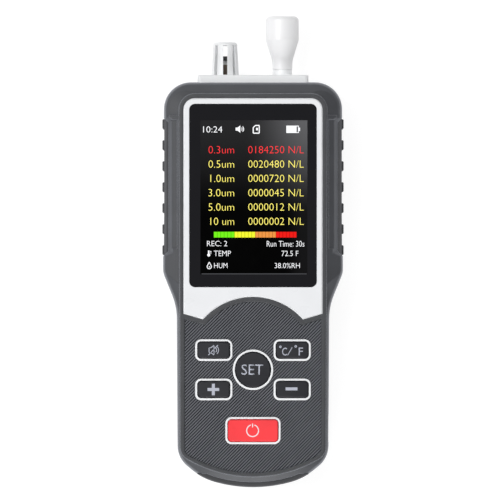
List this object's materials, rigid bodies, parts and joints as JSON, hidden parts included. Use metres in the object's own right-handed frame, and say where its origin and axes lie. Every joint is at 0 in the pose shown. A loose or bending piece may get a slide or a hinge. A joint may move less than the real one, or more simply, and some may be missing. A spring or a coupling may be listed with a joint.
{
  "type": "airborne particle counter",
  "caption": "Hand-held airborne particle counter with a colour screen, a keypad, a slotted humidity and temperature probe and a flared air inlet that pulls off.",
  "frame": {"origin": "bottom centre of the bounding box: on the surface under the back, half way along the overall length", "axes": "+X to the right across the face, +Y along the case towards the air inlet, +Z out of the face"},
  "size_m": [0.0846, 0.22, 0.0388],
  "materials": {
    "shell_plastic": "fine satin texture, charcoal",
    "pad_rubber": "matt, darker than the shells",
    "fascia_white": "satin white with a bevelled edge",
    "lens_black": "polished, printed black behind the border",
    "display_dark": "dark display glass, lit characters",
    "inner_plastic": "plain black moulding",
    "panel_plastic": "satin charcoal with fine diagonal ribs",
    "surround_white": "satin white",
    "key_dark": "satin dark grey",
    "key_red": "satin coral red",
    "switch_black": "moulded housing",
    "plunger_white": "plain",
    "plate_white": "satin white",
    "nozzle_white": "satin white",
    "horn_white": "satin white, turned",
    "probe_board_white": "white board",
    "chip_black": "moulded",
    "chip_brown": "moulded, dark brown",
    "seal_rubber": "smooth",
    "hose_silicone": "translucent silicone",
    "sensor_metal": "die cast, bead blasted",
    "board_green": "solder mask",
    "cell_wrap": "shrink wrap",
    "socket_steel": "stamped",
    "screw_steel": "blackened",
    "insert_brass": "turned"
  },
  "bodies": {
    "case": {"front_shell": "shell_plastic", "rear_shell": "shell_plastic", "left_grip": "pad_rubber", "right_grip": "pad_rubber", "bottom_bumper": "pad_rubber", "screen_fascia": "fascia_white", "display_lens": "lens_black", "lcd_module": "display_dark", "lcd_bracket": "inner_plastic", "keypad_panel": "panel_plastic", "top_plate": "plate_white", "probe_guard": "plate_white", "probe_board": "probe_board_white", "humidity_sensor": "chip_black", "temperature_sensor": "chip_brown", "inlet_nozzle": "nozzle_white", "nozzle_o_ring": "seal_rubber", "inlet_tube": "hose_silicone", "laser_sensor_case": "sensor_metal", "main_board": "board_green", "battery_cell": "cell_wrap", "battery_cradle": "inner_plastic", "buzzer": "chip_black", "usb_socket": "socket_steel", "card_socket": "socket_steel", "memory_card": "chip_black", "case_screws": "screw_steel", "board_screws": "screw_steel", "tripod_insert": "insert_brass", "mute_surround": "surround_white", "mute_switch": "switch_black", "units_surround": "surround_white", "units_switch": "switch_black", "plus_surround": "surround_white", "plus_switch": "switch_black", "minus_surround": "surround_white", "minus_switch": "switch_black", "set_surround": "surround_white", "set_switch": "switch_black", "power_surround": "surround_white", "power_switch": "switch_black"},
    "mute_button": {"mute_key": "key_dark", "mute_plunger": "plunger_white"},
    "units_button": {"units_key": "key_dark", "units_plunger": "plunger_white"},
    "plus_button": {"plus_key": "key_dark", "plus_plunger": "plunger_white"},
    "minus_button": {"minus_key": "key_dark", "minus_plunger": "plunger_white"},
    "set_button": {"set_key": "key_dark", "set_plunger": "plunger_white"},
    "power_button": {"power_key": "key_red", "power_plunger": "plunger_white"},
    "sampling_horn": {"inlet_horn": "horn_white"},
    "fan": {"fan_rotor": "inner_plastic"}
  },
  "joints": [
    {"name": "mute_press", "type": "slide", "parent": "case", "child": "mute_button", "axis": [0, 0, 1], "range_m": [-0.0003, 0], "stiffness_N_per_m": 1000, "springref_m": 0.0003},
    {"name": "units_press", "type": "slide", "parent": "case", "child": "units_button", "axis": [0, 0, 1], "range_m": [-0.0003, 0], "stiffness_N_per_m": 1000, "springref_m": 0.0003},
    {"name": "plus_press", "type": "slide", "parent": "case", "child": "plus_button", "axis": [0, 0, 1], "range_m": [-0.0003, 0], "stiffness_N_per_m": 1000, "springref_m": 0.0003},
    {"name": "minus_press", "type": "slide", "parent": "case", "child": "minus_button", "axis": [0, 0, 1], "range_m": [-0.0003, 0], "stiffness_N_per_m": 1000, "springref_m": 0.0003},
    {"name": "set_press", "type": "slide", "parent": "case", "child": "set_button", "axis": [0, 0, 1], "range_m": [-0.0003, 0], "stiffness_N_per_m": 1000, "springref_m": 0.0003},
    {"name": "power_press", "type": "slide", "parent": "case", "child": "power_button", "axis": [0, 0, 1], "range_m": [-0.0003, 0], "stiffness_N_per_m": 1000, "springref_m": 0.0003},
    {"name": "horn_pull_off", "type": "slide", "parent": "case", "child": "sampling_horn", "axis": [0, 1, 0], "range_m": [0, 0.014]},
    {"name": "fan_spin", "type": "hinge", "parent": "case", "child": "fan", "pos_m": [-0.011, 0.027, 0.0065], "axis": [0, 0, 1], "continuous": true}
  ]
}
